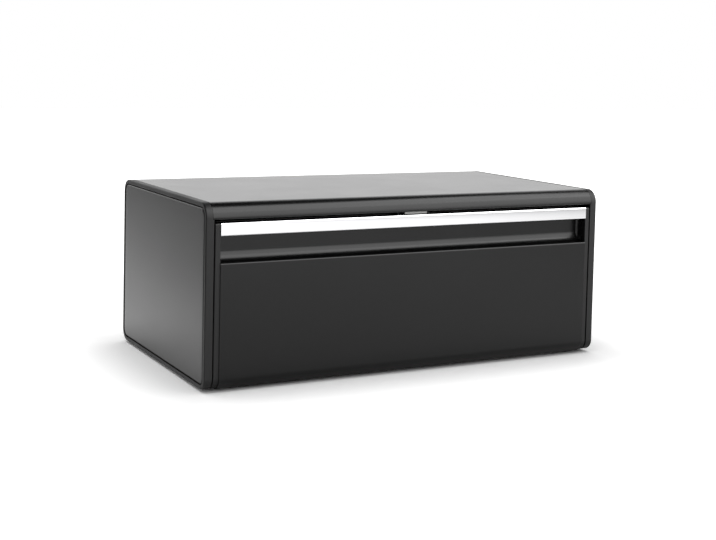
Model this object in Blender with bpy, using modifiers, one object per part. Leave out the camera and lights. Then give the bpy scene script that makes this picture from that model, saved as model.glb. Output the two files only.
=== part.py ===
# Fall-front bread box
#
# A steel sheet is bent round two moulded end frames, and the whole front below its
# rail is a door that turns about pins in its rounded bottom edge. The door is drawn
# closed. X runs along the front, from the left end frame to the right one, Y runs
# from the front to the back, and Z runs up from the counter.
# The origin is on the counter, under the middle of the box.

import math

import bmesh
import bpy
from mathutils import Matrix, Vector

mm = 0.001
degree = math.pi / 180

# Overall size, over the door's front, the end frames and the feet
box_width = 465 * mm
box_depth = 257 * mm
box_height = 184 * mm
foot_lift = 2.5 * mm

# The rounded side view that the shell, the frames and the door share
corner_radius = 14 * mm
hinge_corner_radius = 12 * mm
corner_steps = 10

# Sheet metal, plastic walls and the clearances between pieces
sheet_thickness = 0.8 * mm
plastic_wall = 2 * mm
bend_radius = 1.5 * mm
bend_steps = 3
fit_gap = 0.3 * mm
swing_gap = 1 * mm
overrun = 5 * mm
union_overlap = 1 * mm
weld_distance = 0.001 * mm

# Outer shell
rail_height = 16.2 * mm
rail_return = 12 * mm
floor_lip_height = 8 * mm
vent_count = 9
vent_spacing = 14 * mm
vent_radius = 3 * mm
vent_drop = 32 * mm

# End frames and side panels
frame_width = 8.5 * mm
frame_ring = 4.2 * mm
frame_edge_radius = 1.2 * mm
frame_inner_edge = 0.3 * mm
shell_lap = 1.2 * mm
ledge_width = 12 * mm
ledge_thickness = 2 * mm
ledge_corner_radius = 1.5 * mm
panel_inset = 0.2 * mm
panel_depth = 2 * mm
panel_groove = 1 * mm
tongue_reach = 9 * mm
door_relief = 0.2 * mm
stop_lug_reach = 10 * mm
stop_lug_depth = 5 * mm
stop_lug_drop = 30 * mm

# Hinge
hinge_pin_radius = 3 * mm
hinge_pin_end = 3 * mm
cap_boss_radius = 6 * mm
cap_boss_reach = 8 * mm
frame_boss_overlap = 0.7 * mm
round_steps = 24

# Door
door_proud = 1 * mm
door_top_gap = 2.8 * mm
handle_height = 12.9 * mm
handle_thickness = 1 * mm
handle_top_flange = 5 * mm
handle_bottom_return = 3.5 * mm
recess_height = 26 * mm
recess_depth = 13.2 * mm
recess_fillet = 11.5 * mm
recess_upper_bend = 3 * mm
recess_end_wall = 1 * mm
recess_end_radius = 3 * mm
recess_lip_inset = 3 * mm
panel_flange = 2.5 * mm
liner_flange = 10.5 * mm
liner_seam = 0.5 * mm
cap_width = 5.3 * mm
cap_corner_radius = 2 * mm
cap_edge = 0.5 * mm
cap_tongue_reach = 12 * mm

# Magnetic catch
magnet_width = 26.5 * mm
magnet_depth = 9 * mm
magnet_height = 7 * mm
magnet_setback = 3 * mm
magnet_projection = 2.2 * mm
catch_wall = 3 * mm
catch_body_height = 6.5 * mm
catch_bevel = 0.5 * mm
strike_width = 46 * mm
strike_depth = 9 * mm
strike_screw_spacing = 36 * mm
strike_screw_radius = 1.2 * mm
strike_screw_length = 3.2 * mm
strike_head_radius = 2.4 * mm
strike_head_height = 1 * mm

# Feet, buffers and the screws under the floor
foot_radius = 7 * mm
foot_taper = 1 * mm
foot_side_inset = 30 * mm
foot_front_inset = 48 * mm
foot_back_inset = 22 * mm
buffer_radius = 2.5 * mm
buffer_thickness = 2.5 * mm
buffer_drop = 5.5 * mm
screw_radius = 1.5 * mm
screw_length = 9 * mm
screw_head_radius = 3 * mm
screw_head_height = 1.4 * mm
screw_boss_radius = 4 * mm
screw_boss_height = 10 * mm
screw_front_inset = 42 * mm
screw_back_inset = 24 * mm

# Planes worked out from the sizes above
half_width = box_width / 2
front_y = -box_depth / 2 + door_proud
back_y = box_depth / 2
base_z = foot_lift
top_z = box_height
frame_inner_x = half_width - frame_width
shell_half = frame_inner_x + shell_lap
ledge_x = half_width - panel_inset - panel_depth - fit_gap
cap_outer_x = frame_inner_x - swing_gap
cap_inner_x = cap_outer_x - cap_width
door_half = cap_inner_x - fit_gap
axis_y = front_y + hinge_corner_radius
axis_z = base_z + hinge_corner_radius
roll_radius = hinge_corner_radius + door_proud
panel_y = axis_y - roll_radius
door_back_y = axis_y + roll_radius
rail_z = top_z - rail_height
door_top_z = rail_z - door_top_gap
handle_bottom_z = door_top_z - handle_height
panel_top_z = handle_bottom_z - recess_height
floor_lip_y = door_back_y + swing_gap
trough_top_z = door_top_z - handle_thickness - fit_gap - plastic_wall
trough_floor_z = panel_top_z - sheet_thickness - fit_gap
trough_back_y = panel_y + recess_depth
trough_lip_y = panel_y + handle_thickness + fit_gap
trough_mouth_y = panel_y + handle_bottom_return + fit_gap


# Scene, collections and materials

for old in list(bpy.data.objects):
    bpy.data.objects.remove(old, do_unlink=True)

box_collection = bpy.data.collections.new("bread_box")
bpy.context.scene.collection.children.link(box_collection)
cutter_collection = bpy.data.collections.new("cutters")
bpy.context.scene.collection.children.link(cutter_collection)


def make_material(name, colour, roughness, metallic):
    """A plain surface, with its colour, roughness and metal value."""
    material = bpy.data.materials.new(name)
    material.use_nodes = True
    shader = material.node_tree.nodes["Principled BSDF"]
    shader.inputs["Base Color"].default_value = (*colour, 1)
    shader.inputs["Roughness"].default_value = roughness
    shader.inputs["Metallic"].default_value = metallic
    return material


black_paint = make_material("black_paint", (0.028, 0.028, 0.029), 0.38, 0.0)
black_plastic = make_material("black_plastic", (0.022, 0.022, 0.023), 0.45, 0.0)
chrome = make_material("chrome", (0.86, 0.86, 0.87), 0.12, 1.0)
zinc = make_material("zinc", (0.62, 0.63, 0.65), 0.35, 1.0)
nickel = make_material("nickel", (0.72, 0.71, 0.69), 0.28, 1.0)
black_rubber = make_material("black_rubber", (0.02, 0.02, 0.02), 0.8, 0.0)


# Shapes in the side view, where Y runs to the right and Z runs up

def arc(centre, radius, start, end, steps):
    """Points round an arc, with angles in degrees counted from +Y towards +Z."""
    points = []
    for step in range(steps + 1):
        angle = (start + (end - start) * step / steps) * degree
        points.append((centre[0] + radius * math.cos(angle), centre[1] + radius * math.sin(angle)))
    return points


def case_outline(inset):
    """The case's rounded outline, moved in by inset, as a closed loop of points."""
    radius = max(corner_radius - inset, ledge_corner_radius)
    hinge_radius = max(hinge_corner_radius - inset, ledge_corner_radius)
    low_y, high_y = front_y + inset, back_y - inset
    low_z, high_z = base_z + inset, top_z - inset
    return (
        arc((high_y - radius, high_z - radius), radius, 0, 90, corner_steps)
        + arc((low_y + radius, high_z - radius), radius, 90, 180, corner_steps)
        + arc((low_y + hinge_radius, low_z + hinge_radius), hinge_radius, 180, 270, corner_steps)
        + arc((high_y - radius, low_z + radius), radius, 270, 360, corner_steps)
    )


def shell_path():
    """The shell's outer face, from the rail's return over the top and round to the floor's lip."""
    rail_bend = (front_y + bend_radius, rail_z + bend_radius)
    lip_bend = (floor_lip_y + bend_radius, base_z + bend_radius)
    low_y, high_y = front_y + corner_radius, back_y - corner_radius
    low_z, high_z = base_z + corner_radius, top_z - corner_radius
    return (
        [(front_y + rail_return, rail_z)]
        + arc(rail_bend, bend_radius, 270, 180, bend_steps)
        + arc((low_y, high_z), corner_radius, 180, 90, corner_steps)
        + arc((high_y, high_z), corner_radius, 90, 0, corner_steps)
        + arc((high_y, low_z), corner_radius, 0, -90, corner_steps)
        + arc(lip_bend, bend_radius, 270, 180, bend_steps)
        + [(floor_lip_y, base_z + floor_lip_height)]
    )


def door_outline(radius, top):
    """The door's closed side view: a half round about the hinge axis, and a straight front and back."""
    corner = cap_corner_radius
    return (
        arc((axis_y, axis_z), radius, 0, -180, 2 * corner_steps)
        + arc((axis_y - radius + corner, top - corner), corner, 180, 90, bend_steps)
        + arc((axis_y + radius - corner, top - corner), corner, 90, 0, bend_steps)
    )


# Building blocks

def finish_object(name, mesh, material):
    """An object of the box with its material, shaded smooth between its sharp edges."""
    mesh.materials.append(material)
    mesh.shade_smooth()
    mesh.set_sharp_from_angle(angle=35 * degree)
    piece = bpy.data.objects.new(name, mesh)
    box_collection.objects.link(piece)
    return piece


def as_cutter(piece):
    """Move an object to the cutters, where it is drawn as wire and not rendered."""
    for collection in list(piece.users_collection):
        collection.objects.unlink(piece)
    cutter_collection.objects.link(piece)
    piece.hide_render = True
    piece.display_type = "WIRE"
    return piece


def sheet(name, path, low_x, high_x, thickness, material, outward_gap=0):
    """A sheet bent along a path, whose outer face is on the left of the path's way."""
    shape = bmesh.new()
    line = [shape.verts.new((low_x, y, z)) for y, z in path]
    edges = [shape.edges.new(pair) for pair in zip(line, line[1:])]
    swept = bmesh.ops.extrude_edge_only(shape, edges=edges)["geom"]
    moved = [item for item in swept if isinstance(item, bmesh.types.BMVert)]
    bmesh.ops.translate(shape, verts=moved, vec=(high_x - low_x, 0, 0))
    shape.normal_update()
    first = line[1].co - line[0].co
    outward = Vector((0, -first.z, first.y))
    if line[0].link_faces[0].normal.dot(outward) < 0:
        bmesh.ops.reverse_faces(shape, faces=shape.faces[:])
    mesh = bpy.data.meshes.new(name)
    shape.to_mesh(mesh)
    shape.free()
    piece = finish_object(name, mesh, material)
    wall = piece.modifiers.new("wall", "SOLIDIFY")
    wall.thickness = thickness + 2 * outward_gap
    wall.offset = 2 * outward_gap / wall.thickness - 1
    wall.use_even_offset = True
    piece.modifiers.new("triangles", "TRIANGULATE")
    return piece


def plate(name, outlines, low_x, high_x, material):
    """A flat plate across X, with an outline in the side view and any holes in it."""
    curve = bpy.data.curves.new(name, "CURVE")
    curve.dimensions = "2D"
    curve.fill_mode = "BOTH"
    curve.extrude = (high_x - low_x) / 2
    for outline in outlines:
        spline = curve.splines.new("POLY")
        spline.points.add(len(outline) - 1)
        for point, (y, z) in zip(spline.points, outline):
            point.co = (y, z, 0, 1)
        spline.use_cyclic_u = True
    flat = bpy.data.objects.new(name + "_outline", curve)
    box_collection.objects.link(flat)
    graph = bpy.context.evaluated_depsgraph_get()
    mesh = bpy.data.meshes.new_from_object(flat.evaluated_get(graph))
    bpy.data.objects.remove(flat, do_unlink=True)
    shape = bmesh.new()
    shape.from_mesh(mesh)
    bmesh.ops.remove_doubles(shape, verts=shape.verts[:], dist=0.01 * mm)
    bmesh.ops.recalc_face_normals(shape, faces=shape.faces[:])
    shape.to_mesh(mesh)
    shape.free()
    upright = Matrix.Rotation(90 * degree, 4, "Z") @ Matrix.Rotation(90 * degree, 4, "X")
    mesh.transform(Matrix.Translation(((low_x + high_x) / 2, 0, 0)) @ upright)
    mesh.name = name
    return finish_object(name, mesh, material)


def loft(name, loops, ring, material):
    """A skin over loops of points, closed as a ring from last to first, or else with a face at each end."""
    shape = bmesh.new()
    rows = [[shape.verts.new(point) for point in loop] for loop in loops]
    count = len(rows[0])
    pairs = list(zip(rows, rows[1:])) + ([(rows[-1], rows[0])] if ring else [])
    for here, ahead in pairs:
        for index in range(count):
            following = (index + 1) % count
            shape.faces.new((here[index], here[following], ahead[following], ahead[index]))
    if not ring:
        shape.faces.new(rows[0])
        shape.faces.new(rows[-1])
    bmesh.ops.recalc_face_normals(shape, faces=shape.faces[:])
    bmesh.ops.triangulate(shape, faces=shape.faces[:])
    mesh = bpy.data.meshes.new(name)
    shape.to_mesh(mesh)
    shape.free()
    return finish_object(name, mesh, material)


def block(name, low, high, material):
    """A box between its lowest and its highest corner."""
    size = Vector(high) - Vector(low)
    middle = (Vector(high) + Vector(low)) / 2
    shape = bmesh.new()
    bmesh.ops.create_cube(shape, size=1)
    bmesh.ops.scale(shape, vec=size, verts=shape.verts[:])
    mesh = bpy.data.meshes.new(name)
    shape.to_mesh(mesh)
    shape.free()
    piece = finish_object(name, mesh, material)
    piece.location = middle
    return piece


def rods(name, places, radius, length, turn):
    """Cylinders of one size in one cutter, each about its own place, turned from Z."""
    shape = bmesh.new()
    for place in places:
        bmesh.ops.create_cone(
            shape, cap_ends=True, segments=round_steps, radius1=radius, radius2=radius, depth=length,
            matrix=Matrix.Translation(place) @ turn,
        )
    mesh = bpy.data.meshes.new(name)
    shape.to_mesh(mesh)
    shape.free()
    return as_cutter(finish_object(name, mesh, black_plastic))


def turned(name, profile, place, turn, material):
    """A turned piece, from the radius and height of each point down its outer side."""
    shape = bmesh.new()
    line = [shape.verts.new((radius, 0, height)) for radius, height in profile]
    for pair in zip(line, line[1:]):
        shape.edges.new(pair)
    mesh = bpy.data.meshes.new(name)
    shape.to_mesh(mesh)
    shape.free()
    piece = finish_object(name, mesh, material)
    lathe = piece.modifiers.new("lathe", "SCREW")
    lathe.steps = round_steps
    lathe.render_steps = round_steps
    lathe.use_merge_vertices = True
    lathe.merge_threshold = 0.01 * mm
    piece.location = place
    piece.rotation_euler = turn
    return piece


def boolean(piece, other, operation):
    """Cut a piece with another object, or join that object to it, and close the fine seams."""
    step = piece.modifiers.new(other.name, "BOOLEAN")
    step.operation = operation
    step.object = other
    weld = piece.modifiers.new(other.name + "_weld", "WELD")
    weld.merge_threshold = weld_distance


def mirrored(piece, name, material):
    """The same piece for the left side, from the finished mesh of the right one."""
    graph = bpy.context.evaluated_depsgraph_get()
    mesh = bpy.data.meshes.new_from_object(piece.evaluated_get(graph))
    mesh.transform(Matrix.Diagonal((-1, 1, 1, 1)))
    mesh.flip_normals()
    mesh.materials.clear()
    mesh.name = name
    return finish_object(name, mesh, material)


def round_edges(piece, width):
    """Round the sharp edges of a piece."""
    rounding = piece.modifiers.new("edges", "BEVEL")
    rounding.width = width
    rounding.segments = 2
    rounding.limit_method = "ANGLE"
    rounding.angle_limit = 50 * degree


along_x = Matrix.Rotation(90 * degree, 4, "Y")
along_y = Matrix.Rotation(90 * degree, 4, "X")
along_z = Matrix.Identity(4)
sides = (("left", -1), ("right", 1))


# Where the small pieces sit

def floor_screw_places(side):
    """The two screws under one end of the floor, on the floor's underside."""
    x = side * (frame_inner_x - tongue_reach / 2)
    return [(x, front_y + screw_front_inset, base_z), (x, back_y - screw_back_inset, base_z)]


def strike_screw_places():
    """The two screws of the strike plate, on its upper face."""
    y = panel_y + handle_top_flange + swing_gap + strike_depth / 2
    return [(side * strike_screw_spacing / 2, y, door_top_z) for name, side in sides]


# Outer shell: one sheet bent round the case, open at the front

def make_outer_shell():
    shell = sheet("outer_shell", shell_path(), -shell_half, shell_half, sheet_thickness, black_paint)
    row_start = -vent_spacing * (vent_count - 1) / 2
    vents = [(row_start + vent_spacing * index, back_y, top_z - vent_drop) for index in range(vent_count)]
    boolean(shell, rods("vent_cutter", vents, vent_radius, overrun, along_y), "DIFFERENCE")
    holes = floor_screw_places(-1) + floor_screw_places(1)
    boolean(shell, rods("floor_hole_cutter", holes, screw_radius + fit_gap, overrun, along_z), "DIFFERENCE")
    half_window = magnet_width / 2 + fit_gap
    window_low = (-half_window, front_y + magnet_setback - fit_gap, rail_z - sheet_thickness)
    window_back = front_y + magnet_setback + magnet_depth + fit_gap
    window_high = (half_window, window_back, rail_z + 2 * sheet_thickness)
    window = as_cutter(block("magnet_window_cutter", window_low, window_high, black_paint))
    boolean(shell, window, "DIFFERENCE")


# End frames: a moulded ring with a ledge for the side panel, and a tongue inside the shell

def frame_section():
    """The frame's section: inset from the case outline, and depth from the outer side."""
    seat = half_width - ledge_x
    edge = frame_edge_radius
    rim = [(edge - y, edge - z) for y, z in arc((0, 0), edge, 0, 90, bend_steps)]
    tongue_foot = sheet_thickness + fit_gap + plastic_wall
    return (
        [(frame_inner_edge, frame_width + tongue_reach), (frame_inner_edge, frame_width)]
        + [(0, frame_width - frame_inner_edge)]
        + rim
        + [(frame_ring - frame_inner_edge, 0), (frame_ring, frame_inner_edge)]
        + [(frame_ring, seat), (frame_ring + ledge_width, seat)]
        + [(frame_ring + ledge_width, seat + ledge_thickness), (frame_ring, seat + ledge_thickness)]
        + [(frame_ring, frame_width), (tongue_foot, frame_width), (tongue_foot, frame_width + tongue_reach)]
    )


def make_end_frames():
    loops = [[(half_width - depth, y, z) for y, z in case_outline(inset)] for inset, depth in frame_section()]
    frame = loft("right_end_frame", loops, True, black_plastic)

    # The boss round the hinge pin fills the ring's lower front corner
    boss_radius = hinge_corner_radius - frame_ring + frame_boss_overlap
    boss_outer_x = ledge_x - fit_gap
    boss_inner_x = frame_inner_x + door_relief
    boss_middle = ((boss_inner_x + boss_outer_x) / 2, axis_y, axis_z)
    boss = rods("frame_hinge_boss", [boss_middle], boss_radius, boss_outer_x - boss_inner_x, along_x)
    boolean(frame, boss, "UNION")

    # Screw bosses stand on the tongue's floor
    boss_low_z = base_z + sheet_thickness + fit_gap + plastic_wall / 2
    boss_high_z = base_z + screw_boss_height
    middles = [(x, y, (boss_low_z + boss_high_z) / 2) for x, y, z in floor_screw_places(1)]
    bosses = rods("frame_screw_bosses", middles, screw_boss_radius, boss_high_z - boss_low_z, along_z)
    boolean(frame, bosses, "UNION")

    # The stop lug hangs under the top, behind the door's end cap
    lug_front = axis_y + hinge_corner_radius + buffer_thickness + 2 * fit_gap
    lug_top = top_z - sheet_thickness - fit_gap - plastic_wall / 2
    lug_low = (frame_inner_x - stop_lug_reach, lug_front, top_z - stop_lug_drop)
    lug_high = (boss_outer_x - ledge_thickness / 2, lug_front + stop_lug_depth, lug_top)
    boolean(frame, as_cutter(block("frame_stop_lug", lug_low, lug_high, black_plastic)), "UNION")

    # Bores of the hinge pin and the screws
    bore = rods("frame_pin_bore", [(half_width, axis_y, axis_z)], hinge_pin_radius + fit_gap,
                2 * (frame_width + overrun), along_x)
    boolean(frame, bore, "DIFFERENCE")
    screw_bores = rods("frame_screw_bores", floor_screw_places(1), screw_radius + fit_gap,
                       2 * (screw_length + fit_gap), along_z)
    boolean(frame, screw_bores, "DIFFERENCE")

    # Room for the door, which leaves the tongue only behind it and over it
    room_low = (0, front_y - overrun, base_z - overrun)
    room_high = (frame_inner_x + door_relief, floor_lip_y + bend_radius, rail_z + door_relief)
    boolean(frame, as_cutter(block("frame_door_room", room_low, room_high, black_plastic)), "DIFFERENCE")

    # Room for the shell's edge, which laps over the frame
    edge_room = sheet("frame_shell_room", shell_path(), 0, shell_half + fit_gap, sheet_thickness,
                      black_plastic, fit_gap)
    boolean(frame, as_cutter(edge_room), "DIFFERENCE")
    mirrored(frame, "left_end_frame", black_plastic)


def make_side_panel(name, side):
    """A shallow steel pan in the frame, whose rounded rim stands on the ledge with a thin groove round it."""
    edge, wall = bend_radius, sheet_thickness
    outer_bend = [(edge - y, edge - z) for y, z in arc((0, 0), edge, 90, 0, bend_steps)]
    inner_bend = [(edge - y, edge - z) for y, z in arc((0, 0), edge - wall, 0, 90, bend_steps)]
    section = outer_bend + [(0, panel_depth), (wall, panel_depth)] + inner_bend
    loops = []
    for inset, depth in section:
        x = side * (half_width - panel_inset - depth)
        loops.append([(x, y, z) for y, z in case_outline(frame_ring + panel_groove + inset)])
    loft(name + "_side_panel", loops, False, black_paint)


# Door: its pieces have their origins on the hinge axis

def hang_on_hinge(piece):
    """Put a door piece's origin on the hinge axis."""
    axis = Vector((0, axis_y, axis_z))
    if piece.location.length == 0:
        piece.data.transform(Matrix.Translation(-axis))
    else:
        piece.location = piece.location - axis
    piece.parent = hinge_axis


def make_door_panel():
    """Steel front skin, rolled round the hinge axis at the bottom and turned in at the top."""
    bend = (panel_y + bend_radius, panel_top_z - bend_radius)
    path = (
        arc((axis_y, axis_z), roll_radius, 0, -180, 2 * corner_steps)
        + arc(bend, bend_radius, 180, 90, bend_steps)
        + [(panel_y + panel_flange, panel_top_z)]
    )
    hang_on_hinge(sheet("door_panel", path, -door_half, door_half, sheet_thickness, black_paint))


def make_door_liner():
    """Steel sheet that closes the door's back, from the roll to the top wall."""
    bend = (door_back_y - bend_radius, door_top_z - bend_radius)
    path = (
        [(door_back_y - liner_flange, door_top_z)]
        + arc(bend, bend_radius, 90, 0, bend_steps)
        + [(door_back_y, axis_z + liner_seam)]
    )
    hang_on_hinge(sheet("door_liner", path, -door_half, door_half, sheet_thickness, black_paint))


def trough_loop(face, turn, rim):
    """A loop round the trough: on its inner face at 0 or its outer one at 1, turned in towards the back."""
    wall = face * plastic_wall
    falling, rising = math.cos(turn * degree), math.sin(turn * degree)
    radii = [radius + wall for radius in (recess_fillet, recess_end_radius, recess_upper_bend)]
    low_y, end_y, high_y = [trough_back_y + wall - radius * (1 - rising) for radius in radii]
    low_inset, end_inset, high_inset = [radius * (1 - falling) for radius in radii]
    end_x = door_half - recess_end_wall * (1 - face) - end_inset
    low_z = trough_floor_z - wall + low_inset
    high_z = trough_top_z + wall - high_inset
    corner = max(radii[1] * falling, fit_gap)
    low_arc = arc((end_x - corner, low_z + corner), corner, -90, 0, 2 * bend_steps)
    high_arc = arc((end_x - corner, high_z - corner), corner, 0, 90, 2 * bend_steps)
    lip_x = door_half - recess_end_wall - recess_end_radius - recess_lip_inset
    shares = [step / len(low_arc[1:]) for step in range(len(low_arc))]
    low_side = [(x, low_y + (end_y - low_y) * share, z) for share, (x, z) in zip(shares, low_arc)]
    high_side = [(x, end_y + (high_y - end_y) * share, z) for share, (x, z) in zip(shares, high_arc)]
    half = [(lip_x, low_y, low_z)] + low_side + high_side + [(lip_x, high_y, high_z)]
    if rim:
        half = [(x, min(trough_mouth_y, y - fit_gap), z) for x, y, z in half]
        half[0] = (lip_x, trough_lip_y, low_z)
        half[-1] = (lip_x, trough_lip_y, high_z)
    return half + [(-x, y, z) for x, y, z in reversed(half)]


def make_grip_trough():
    """Moulded pan of the finger recess, with a rounded back and ends, open behind the strip and the skin."""
    turns = [90 * step / corner_steps for step in range(corner_steps + 1)]
    outer_turns = [90 * step / bend_steps for step in range(bend_steps + 1)]
    loops = [trough_loop(0, turn, False) for turn in reversed(turns)]
    loops += [trough_loop(0, 0, True), trough_loop(1, 0, True)]
    loops += [trough_loop(1, turn, False) for turn in outer_turns]
    trough = loft("grip_trough", loops, False, black_plastic)
    holes = rods("strike_hole_cutter", strike_screw_places(), strike_screw_radius + fit_gap,
                 4 * plastic_wall, along_z)
    boolean(trough, holes, "DIFFERENCE")
    hang_on_hinge(trough)


def make_handle_strip():
    """Chrome strip over the door's top edge, turned back at its top and bottom."""
    low_bend = (panel_y + bend_radius, handle_bottom_z + bend_radius)
    high_bend = (panel_y + bend_radius, door_top_z - bend_radius)
    path = (
        [(panel_y + handle_bottom_return, handle_bottom_z)]
        + arc(low_bend, bend_radius, 270, 180, bend_steps)
        + arc(high_bend, bend_radius, 180, 90, bend_steps)
        + [(panel_y + handle_top_flange, door_top_z)]
    )
    hang_on_hinge(sheet("handle_strip", path, -door_half, door_half, handle_thickness, chrome))


def make_door_end_caps():
    """Plastic ends of the door, with a tongue under the steel and a boss for the pin."""
    cap_top = door_top_z - fit_gap
    rounding = [(0, cap_inner_x), (0, cap_outer_x - cap_edge), (cap_edge, cap_outer_x)]
    loops = [
        [(x, y, z) for y, z in door_outline(hinge_corner_radius - inset, cap_top - inset)] for inset, x in rounding
    ]
    cap = loft("right_door_end_cap", loops, False, black_plastic)

    # The tongue carries the front skin, the liner and the trough's floor
    tongue_top = trough_floor_z - plastic_wall - fit_gap
    tongue_radius = roll_radius - sheet_thickness - fit_gap
    near_x, far_x = cap_inner_x + union_overlap, cap_inner_x - cap_tongue_reach
    walls = [(0, near_x), (0, far_x), (plastic_wall, far_x), (plastic_wall, near_x)]
    loops = [
        [(x, y, z) for y, z in door_outline(tongue_radius - inset, tongue_top - inset)] for inset, x in walls
    ]
    boolean(cap, as_cutter(loft("cap_tongue", loops, True, black_plastic)), "UNION")
    boss_middle = (cap_inner_x - (cap_boss_reach - union_overlap) / 2, axis_y, axis_z)
    boss = rods("cap_boss", [boss_middle], cap_boss_radius, cap_boss_reach + union_overlap, along_x)
    boolean(cap, boss, "UNION")
    bore = rods("cap_bore", [(cap_outer_x, axis_y, axis_z)], hinge_pin_radius + fit_gap,
                2 * (cap_width + cap_boss_reach + overrun), along_x)
    boolean(cap, bore, "DIFFERENCE")
    hang_on_hinge(mirrored(cap, "left_door_end_cap", black_plastic))
    hang_on_hinge(cap)


def make_hinge_pin(name, side):
    """Steel pin through the door's end cap, turning in the end frame's boss."""
    inner_end = cap_inner_x - cap_boss_reach + hinge_pin_end
    outer_end = ledge_x - fit_gap
    half = (outer_end - inner_end) / 2
    profile = [
        (0, half), (hinge_pin_radius - fit_gap, half), (hinge_pin_radius, half - fit_gap),
        (hinge_pin_radius, fit_gap - half), (hinge_pin_radius - fit_gap, -half), (0, -half),
    ]
    place = (side * (inner_end + outer_end) / 2, axis_y, axis_z)
    hang_on_hinge(turned(name + "_hinge_pin", profile, place, (0, side * 90 * degree, 0), zinc))


def make_strike():
    """Steel plate under the magnet, screwed to the trough's top wall."""
    low_y = panel_y + handle_top_flange + swing_gap
    middle_y = low_y + strike_depth / 2
    top = door_top_z
    plate_low = (-strike_width / 2, low_y, top - sheet_thickness)
    plate_high = (strike_width / 2, low_y + strike_depth, top)
    strike = block("strike_plate", plate_low, plate_high, zinc)
    holes = rods("strike_plate_holes", strike_screw_places(), strike_screw_radius + fit_gap,
                 overrun, along_z)
    boolean(strike, holes, "DIFFERENCE")
    hang_on_hinge(strike)
    head_top = fit_gap + strike_head_height
    profile = [
        (0, head_top), (strike_head_radius / 2, head_top),
        (strike_head_radius, head_top - strike_head_height / 2), (strike_head_radius, fit_gap),
        (strike_screw_radius, fit_gap), (strike_screw_radius, -strike_screw_length),
        (0, -strike_screw_length),
    ]
    for (name, side), place in zip(sides, strike_screw_places()):
        hang_on_hinge(turned(name + "_strike_screw", profile, place, (0, 0, 0), zinc))


# Magnetic catch behind the rail

def make_catch():
    """A plastic holder on the rail's return, with the magnet hanging through its window."""
    low_y = front_y + magnet_setback
    high_y = low_y + magnet_depth
    seat_z = rail_z + sheet_thickness + fit_gap
    half = magnet_width / 2
    body_low = (-half - catch_wall, low_y, seat_z)
    body_high = (half + catch_wall, high_y + catch_wall, seat_z + catch_body_height)
    body = block("catch_body", body_low, body_high, black_plastic)
    round_edges(body, catch_bevel)
    magnet_low = (-half, low_y, rail_z - magnet_projection)
    magnet_high = (half, high_y, rail_z - magnet_projection + magnet_height)
    magnet = block("catch_magnet", magnet_low, magnet_high, nickel)
    pocket_low = (-half - fit_gap, low_y - overrun, rail_z - magnet_height)
    pocket_high = (half + fit_gap, high_y + fit_gap, magnet_high[2] + fit_gap)
    pocket = as_cutter(block("magnet_pocket_cutter", pocket_low, pocket_high, black_plastic))
    boolean(body, pocket, "DIFFERENCE")
    round_edges(magnet, fit_gap)


# Feet, buffers and floor screws

def make_feet():
    """Rubber discs stuck under the floor."""
    height = base_z - fit_gap
    profile = [
        (0, height), (foot_radius, height), (foot_radius, foot_taper), (foot_radius - foot_taper, 0), (0, 0),
    ]
    for name, side in sides:
        x = side * (half_width - foot_side_inset)
        for row, y in (("front_", front_y + foot_front_inset), ("back_", back_y - foot_back_inset)):
            turned(row + name + "_foot", profile, (x, y, 0), (0, 0, 0), black_rubber)


def make_buffer(name, side):
    """Rubber stop on the frame's lug, behind the door's end cap."""
    half = buffer_thickness / 2
    profile = [
        (0, half), (buffer_radius - fit_gap, half), (buffer_radius, half - fit_gap), (buffer_radius, -half),
        (0, -half),
    ]
    place = (
        side * (cap_inner_x + cap_outer_x) / 2,
        axis_y + hinge_corner_radius + fit_gap + half,
        door_top_z - buffer_drop,
    )
    turned(name + "_door_buffer", profile, place, (90 * degree, 0, 0), black_rubber)


def make_floor_screws():
    """Pan-head screws up through the floor into the end frames."""
    profile = [
        (0, screw_length), (screw_radius, screw_length), (screw_radius, -fit_gap),
        (screw_head_radius, -fit_gap), (screw_head_radius, -fit_gap - screw_head_height / 2),
        (screw_head_radius / 2, -fit_gap - screw_head_height), (0, -fit_gap - screw_head_height),
    ]
    for name, side in sides:
        for row, place in zip(("front_", "back_"), floor_screw_places(side)):
            turned(row + name + "_frame_screw", profile, place, (0, 0, 0), zinc)


# The assembly

hinge_axis = bpy.data.objects.new("hinge_axis", None)
hinge_axis.location = (0, axis_y, axis_z)
box_collection.objects.link(hinge_axis)

make_outer_shell()
make_end_frames()
for name, side in sides:
    make_side_panel(name, side)
    make_buffer(name, side)
make_catch()
make_feet()
make_floor_screws()

make_door_panel()
make_door_liner()
make_grip_trough()
make_handle_strip()
make_door_end_caps()
for name, side in sides:
    make_hinge_pin(name, side)
make_strike()
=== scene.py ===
import math

import bpy
from mathutils import Matrix, Vector

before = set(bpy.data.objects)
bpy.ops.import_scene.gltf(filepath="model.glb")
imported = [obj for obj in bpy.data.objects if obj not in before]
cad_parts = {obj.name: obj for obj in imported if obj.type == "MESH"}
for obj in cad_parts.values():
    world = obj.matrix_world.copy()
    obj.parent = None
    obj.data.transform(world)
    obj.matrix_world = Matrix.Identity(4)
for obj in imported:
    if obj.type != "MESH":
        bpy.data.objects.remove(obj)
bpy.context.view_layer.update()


# The outer shell
# One steel sheet bent round into top, back, floor and the low rail across the front.
# It is sprayed satin black and baked. The paint lies in a very fine ripple, and its
# gloss drifts a little from place to place.

mm = 0.001
degree = math.pi / 180
smooth_limit = 35 * degree
weld_distance = 0.001 * mm
tone_band = (0.35, 0.65)
gloss_band = (0.3, 0.7)
cloud_detail, speck_detail = 4, 2


def wire(links, *ways):
    """Join node sockets, given as pairs of an output and an input."""
    for output, socket in ways:
        links.new(output, socket)


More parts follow.
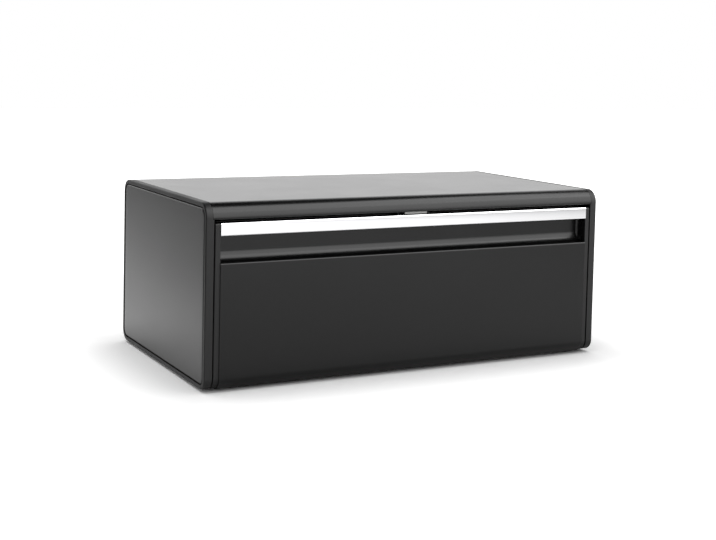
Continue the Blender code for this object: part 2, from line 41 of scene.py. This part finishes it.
def ramp_node(nodes, links, value, start, end, low, high):
    """A smooth step of a value, from low at start to high at end."""
    node = nodes.new("ShaderNodeMapRange")
    node.interpolation_type = "SMOOTHSTEP"
    for socket, number in zip(("From Min", "From Max", "To Min", "To Max"), (start, end, low, high)):
        node.inputs[socket].default_value = number
    links.new(value, node.inputs["Value"])
    return node.outputs["Result"]


def smooth_faces():
    """Modifier nodes that join a piece's facets and shade it smooth, save at its sharp edges."""
    tree = bpy.data.node_groups.new("smooth_faces", "GeometryNodeTree")
    for way in ("INPUT", "OUTPUT"):
        tree.interface.new_socket("Geometry", in_out=way, socket_type="NodeSocketGeometry")
    nodes, links = tree.nodes, tree.links
    flat_normals = nodes.new("GeometryNodeRemoveAttribute")
    flat_normals.inputs["Name"].default_value = "custom_normal"
    joined = nodes.new("GeometryNodeMergeByDistance")
    joined.inputs["Distance"].default_value = weld_distance
    faces = nodes.new("GeometryNodeSetShadeSmooth")
    faces.domain = "FACE"
    edges = nodes.new("GeometryNodeSetShadeSmooth")
    edges.domain = "EDGE"
    angle = nodes.new("GeometryNodeInputMeshEdgeAngle")
    gentle = nodes.new("FunctionNodeCompare")
    gentle.data_type = "FLOAT"
    gentle.operation = "LESS_THAN"
    gentle.inputs["B"].default_value = smooth_limit
    wire(links, (angle.outputs["Unsigned Angle"], gentle.inputs["A"]))
    wire(links, (gentle.outputs["Result"], edges.inputs["Shade Smooth"]))
    entry, leaving = nodes.new("NodeGroupInput"), nodes.new("NodeGroupOutput")
    chain = [entry, flat_normals, joined, faces, edges, leaving]
    for here, ahead in zip(chain, chain[1:]):
        wire(links, (here.outputs[0], ahead.inputs[0]))
    return tree


smoothing = smooth_faces()


def dress(material, *names):
    """Give pieces a finish, and smooth shading on their curved faces."""
    for name in names:
        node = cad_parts[name]
        node.data.materials.clear()
        node.data.materials.append(material)
        node.modifiers.new("smooth_faces", "NODES").node_group = smoothing
        node.modifiers.new("flat_faces", "WEIGHTED_NORMAL").keep_sharp = True


def surface(name, tones, gloss, metallic, index, grain, depth, drift=18):
    """A finish whose tone and gloss drift between two values each, over a fine bumpy grain."""
    material = bpy.data.materials.new(name)
    material.use_nodes = True
    nodes, links = material.node_tree.nodes, material.node_tree.links
    shader = nodes["Principled BSDF"]
    shader.inputs["Metallic"].default_value = metallic
    shader.inputs["IOR"].default_value = index
    place = nodes.new("ShaderNodeTexCoord").outputs["Object"]
    cloud = nodes.new("ShaderNodeTexNoise")
    cloud.inputs["Scale"].default_value = drift
    cloud.inputs["Detail"].default_value = cloud_detail
    colours = nodes.new("ShaderNodeValToRGB")
    for element, position, tone in zip(colours.color_ramp.elements, tone_band, tones):
        element.position = position
        element.color = (*tone, 1)
    speck = nodes.new("ShaderNodeTexNoise")
    speck.inputs["Scale"].default_value = grain
    speck.inputs["Detail"].default_value = speck_detail
    bump = nodes.new("ShaderNodeBump")
    bump.inputs["Distance"].default_value = depth
    wire(links, (place, cloud.inputs["Vector"]), (place, speck.inputs["Vector"]))
    wire(links, (cloud.outputs["Fac"], colours.inputs["Fac"]))
    wire(links, (colours.outputs["Color"], shader.inputs["Base Color"]))
    roughness = ramp_node(nodes, links, cloud.outputs["Fac"], *gloss_band, *gloss)
    wire(links, (roughness, shader.inputs["Roughness"]))
    wire(links, (speck.outputs["Fac"], bump.inputs["Height"]))
    wire(links, (bump.outputs["Normal"], shader.inputs["Normal"]))
    return material


coating_index = 1.40
paint = surface(
    "black_paint", ((0.0019, 0.0019, 0.0020), (0.0023, 0.0023, 0.0024)), (0.258, 0.272), 0, coating_index,
    1500, 0.0015 * mm,
)
dress(paint, "outer_shell")


# The end frames
# Black plastic mouldings that close the shell's two ends, pushed into it by a tongue.
# Their faces carry the even, very fine matt grain of the mould.

plastic = surface(
    "black_plastic", ((0.0020, 0.0020, 0.0021), (0.0026, 0.0026, 0.0027)), (0.46, 0.52), 0, coating_index,
    2600, 0.004 * mm,
)
dress(plastic, "left_end_frame", "right_end_frame")


# The side panels
# Shallow pans pressed from steel sheet and painted like the shell. Each is let into its
# frame, with a thin groove all round.

dress(paint, "left_side_panel", "right_side_panel")


# The feet and the door's buffers
# Moulded rubber discs: four under the floor, and one behind each end of the door.

plain_index = 1.5
rubber = surface(
    "black_rubber", ((0.014, 0.014, 0.014), (0.022, 0.022, 0.022)), (0.7, 0.85), 0, plain_index,
    3000, 0.01 * mm,
)
dress(
    rubber, "left_door_buffer", "right_door_buffer",
    "front_left_foot", "front_right_foot", "back_left_foot", "back_right_foot",
)


# The floor screws and the hinge pins
# Turned steel with a dull zinc plating. Four screws hold the shell's floor to the frames,
# and the door swings on two pins.

zinc = surface(
    "zinc_plate", ((0.58, 0.59, 0.61), (0.68, 0.69, 0.71)), (0.28, 0.42), 1, plain_index,
    1800, 0.006 * mm, 60,
)
dress(
    zinc, "front_left_frame_screw", "front_right_frame_screw",
    "back_left_frame_screw", "back_right_frame_screw", "left_hinge_pin", "right_hinge_pin",
)


# The catch
# A magnet with a dulled nickel plating, held in a plastic block behind the rail. Its lower
# face shows in the gap over the door.

nickel = surface(
    "nickel_plate", ((0.17, 0.17, 0.165), (0.22, 0.22, 0.215)), (0.34, 0.42), 1, plain_index,
    1500, 0.004 * mm,
)
dress(plastic, "catch_body")
dress(nickel, "catch_magnet")


# The door's skin and liner
# Two painted steel sheets. The skin rolls under at its lower edge, and the liner closes
# the door's back.

dress(paint, "door_panel", "door_liner")


# The door's end caps
# Black plastic like the frames, plugged into the two ends of the skin.

dress(plastic, "left_door_end_cap", "right_door_end_cap")


# The finger recess
# A coved plastic moulding between the skin and the chrome strip, from a smoother mould
# than the frames.

recess_plastic = surface(
    "recess_plastic", ((0.0012, 0.0012, 0.0013), (0.0016, 0.0016, 0.0017)), (0.22, 0.25), 0, coating_index,
    2600, 0.002 * mm,
)
dress(recess_plastic, "grip_trough")


# The chrome strip
# A bright plated steel strip, bent over the door's top edge.

chrome = surface(
    "bright_chrome", ((0.88, 0.88, 0.89), (0.91, 0.91, 0.92)), (0.06, 0.09), 1, plain_index, 600, 0.001 * mm,
)
dress(chrome, "handle_strip")


# The strike plate and its screws
# Blackened steel, screwed down on top of the door where the magnet meets it.

blackened = surface(
    "blackened_steel", ((0.030, 0.030, 0.032), (0.045, 0.045, 0.047)), (0.38, 0.48), 1, plain_index,
    1600, 0.004 * mm, 40,
)
dress(blackened, "strike_plate", "left_strike_screw", "right_strike_screw")


# The sweep
# The box stands on a white paper sweep, far wider than the picture, which takes the soft
# shadow under the box. The paper also glows, a painted light that the camera and
# reflections see, none at the box's foot and more the further a spot lies from it. Its
# brightness in reflections is painted across it from left to right, darker far off to
# either side and brightest just beside the box's left end.

def math_node(nodes, links, operation, first, second):
    """A Math node with a socket or a number at each of its two inputs."""
    node = nodes.new("ShaderNodeMath")
    node.operation = operation
    for socket, value in zip(node.inputs, (first, second)):
        if isinstance(value, bpy.types.NodeSocket):
            links.new(value, socket)
        else:
            socket.default_value = value
    return node.outputs[0]


def seen_directly(nodes, links):
    """1 where the camera, a reflection or a see-through surface looks, and 0 for plain light."""
    path = nodes.new("ShaderNodeLightPath").outputs
    seen = math_node(nodes, links, "MAXIMUM", path["Is Camera Ray"], path["Is Glossy Ray"])
    return math_node(nodes, links, "MAXIMUM", seen, path["Is Transmission Ray"])


def sweep_floor():
    """The paper, its painted glow away from the box, and its painted brightness in reflections."""
    size = 12.0
    half_width, half_depth = 232.5 * mm, 128.5 * mm
    near_start, near_end, painted_near_glow = 0.0, 0.12, 0.22
    far_start, far_end, painted_far_glow = 0.15, 1.2, 0.35
    albedo, camera_gain = 0.93, 0.5
    painted_reflection_gain = 1.8
    mirror_span, mirror_middle = 3.0, 0.5
    # Painted reflection: the paper's brightness in reflections, at points across it from left to right
    painted_reflection_stops = (
        (-1.15, 0.05), (-0.80, 0.235), (-0.50, 0.37), (-0.36, 0.74), (-0.26, 0.98), (-0.20, 0.50),
        (0.45, 0.61), (1.3, 0.25),
    )
    bpy.ops.mesh.primitive_plane_add(size=size)
    floor = bpy.context.object
    floor.name = "sweep_floor"
    material = bpy.data.materials.new("white_sweep")
    material.use_nodes = True
    nodes, links = material.node_tree.nodes, material.node_tree.links
    nodes.clear()
    path = nodes.new("ShaderNodeLightPath").outputs
    sides = nodes.new("ShaderNodeSeparateXYZ")
    wire(links, (nodes.new("ShaderNodeTexCoord").outputs["Object"], sides.inputs[0]))

    # How far a spot lies outside the box's footprint
    beyond = []
    for axis, half in (("X", half_width), ("Y", half_depth)):
        distance = math_node(nodes, links, "ABSOLUTE", sides.outputs[axis], 0)
        beyond.append(math_node(nodes, links, "SUBTRACT", distance, half))
    away = math_node(nodes, links, "MAXIMUM", *beyond)
    # Painted light: the paper glows for the camera and reflections, not at all at the box's foot and more
    # further away
    painted_glow = math_node(
        nodes, links, "ADD", ramp_node(nodes, links, away, near_start, near_end, 0, painted_near_glow),
        ramp_node(nodes, links, away, far_start, far_end, 0, painted_far_glow),
    )

    # Painted reflection: how bright the paper looks in reflections, set from the far left to the far right
    across = math_node(nodes, links, "DIVIDE", sides.outputs["X"], mirror_span)
    across = math_node(nodes, links, "ADD", across, mirror_middle)
    stops = nodes.new("ShaderNodeValToRGB")
    elements = stops.color_ramp.elements
    for element in list(elements)[1:]:
        elements.remove(element)
    for number, (x, share) in enumerate(painted_reflection_stops):
        position = x / mirror_span + mirror_middle
        element = elements[0] if number == 0 else elements.new(position)
        element.position = position
        element.color = (share, share, share, 1)
    wire(links, (across, stops.inputs["Fac"]))
    painted_reflection = math_node(nodes, links, "MULTIPLY", stops.outputs["Color"], painted_reflection_gain)
    painted_reflection = math_node(nodes, links, "SUBTRACT", painted_reflection, 1)
    painted_reflection = math_node(nodes, links, "MULTIPLY", painted_reflection, path["Is Glossy Ray"])
    direct = math_node(nodes, links, "MULTIPLY", path["Is Camera Ray"], camera_gain)
    share = math_node(nodes, links, "ADD", painted_reflection, 1)
    share = math_node(nodes, links, "ADD", share, direct)

    white = math_node(nodes, links, "MULTIPLY", share, albedo)
    painted_glow = math_node(nodes, links, "MULTIPLY", painted_glow, seen_directly(nodes, links))
    painted_glow = math_node(nodes, links, "MULTIPLY", painted_glow, share)
    tone = nodes.new("ShaderNodeCombineColor")
    paper = nodes.new("ShaderNodeBsdfDiffuse")
    light = nodes.new("ShaderNodeEmission")
    both = nodes.new("ShaderNodeAddShader")
    output = nodes.new("ShaderNodeOutputMaterial")
    wire(links, (white, tone.inputs[0]), (white, tone.inputs[1]), (white, tone.inputs[2]))
    wire(links, (tone.outputs[0], paper.inputs["Color"]), (painted_glow, light.inputs["Strength"]))
    wire(links, (paper.outputs[0], both.inputs[0]), (light.outputs[0], both.inputs[1]))
    wire(links, (both.outputs[0], output.inputs["Surface"]))
    floor.data.materials.append(material)


sweep_floor()


# The backdrop
# Behind the box the backdrop is plain white. For reflections it is bright up to a third
# of the way overhead, and the studio's ceiling and its left side are black.

def white_backdrop():
    """Three layers of light: the plain one, the one that reflections see, and the white seen directly."""
    ambient = 0.55
    bright, ceiling_share, left_share = 1.35, 0.02, 0.10
    bright_top, ceiling_start = 0.52, 0.70
    left_start, left_end = -0.42, -0.75
    white = 1.0
    world = bpy.data.worlds.new("white_backdrop")
    bpy.context.scene.world = world
    world.use_nodes = True
    nodes, links = world.node_tree.nodes, world.node_tree.links
    nodes.clear()
    way = nodes.new("ShaderNodeSeparateXYZ")
    wire(links, (nodes.new("ShaderNodeTexCoord").outputs["Generated"], way.inputs[0]))
    up = ramp_node(nodes, links, way.outputs["Z"], bright_top, ceiling_start, bright, ceiling_share)
    across = ramp_node(nodes, links, way.outputs["X"], left_end, left_start, left_share, 1)
    layers = []
    for strength in (ambient, math_node(nodes, links, "MULTIPLY", up, across), white):
        layer = nodes.new("ShaderNodeBackground")
        layer.inputs["Color"].default_value = (1, 1, 1, 1)
        if isinstance(strength, float):
            layer.inputs["Strength"].default_value = strength
        else:
            wire(links, (strength, layer.inputs["Strength"]))
        layers.append(layer.outputs[0])
    path = nodes.new("ShaderNodeLightPath").outputs
    reflected = nodes.new("ShaderNodeMixShader")
    seen = nodes.new("ShaderNodeMixShader")
    direct = math_node(nodes, links, "MAXIMUM", path["Is Camera Ray"], path["Is Transmission Ray"])
    output = nodes.new("ShaderNodeOutputWorld")
    wire(links, (path["Is Glossy Ray"], reflected.inputs["Fac"]), (direct, seen.inputs["Fac"]))
    wire(links, (layers[0], reflected.inputs[1]), (layers[1], reflected.inputs[2]))
    wire(links, (reflected.outputs[0], seen.inputs[1]), (layers[2], seen.inputs[2]))
    wire(links, (seen.outputs[0], output.inputs["Surface"]))


white_backdrop()


# The lamps
# A wide soft box hangs over the box for plain light. Two long banks of light stand in front,
# one high and one low, and show only as the pale bands on the rail and in the finger recess.

def soft_box(name, place, width, height, radiance):
    """A soft box of one even brightness that faces the box."""
    box_middle = (0, 0, 0.09)
    lamp = bpy.data.lights.new(name, "AREA")
    lamp.shape = "RECTANGLE"
    lamp.size, lamp.size_y = width, height
    lamp.energy = radiance * math.pi * width * height
    holder = bpy.data.objects.new(name, lamp)
    bpy.context.scene.collection.objects.link(holder)
    holder.location = place
    holder.rotation_euler = (Vector(box_middle) - Vector(place)).to_track_quat("-Z", "Y").to_euler()
    return holder


over = soft_box("over_soft_box", (0.0, 0.1, 2.3), 2.4, 2.4, 1.1)
over.visible_glossy = False
bank = soft_box("front_bank", (0.45, -0.75, 1.35), 2.0, 1.0, 4.2)
bank.visible_diffuse = False
low_bank = soft_box("low_front_bank", (1.10, -1.16, 0.73), 3.0, 1.12, 2.15)
low_bank.visible_diffuse = False


# The camera
# It looks at the box from the front left, a little from above. A shift lowers the picture on
# the lens, as a view camera does, so that the uprights stay nearly upright.

def photo_camera():
    """The camera, from its place, its three angles and the row that its axis meets."""
    image_width = 716
    optical_axis_row = 140
    middle_row = 270
    focal_pixels = 1265.0
    sensor_width = 36
    near_clip = 0.05
    place = (-0.6655, -1.2476, 0.3232)
    yaw, pitch, roll = -27.935, -3.621, -1.302
    lens = bpy.data.cameras.new("photo_camera")
    lens.sensor_width = sensor_width
    lens.lens = focal_pixels / image_width * sensor_width
    lens.shift_y = (optical_axis_row - middle_row) / image_width
    lens.clip_start = near_clip
    camera = bpy.data.objects.new("photo_camera", lens)
    bpy.context.scene.collection.objects.link(camera)
    camera.matrix_world = (
        Matrix.Translation(place)
        @ Matrix.Rotation(yaw * degree, 4, "Z")
        @ Matrix.Rotation((90 + pitch) * degree, 4, "X")
        @ Matrix.Rotation(-roll * degree, 4, "Z")
    )
    bpy.context.scene.camera = camera


photo_camera()
bpy.context.scene.view_settings.view_transform = "Standard"
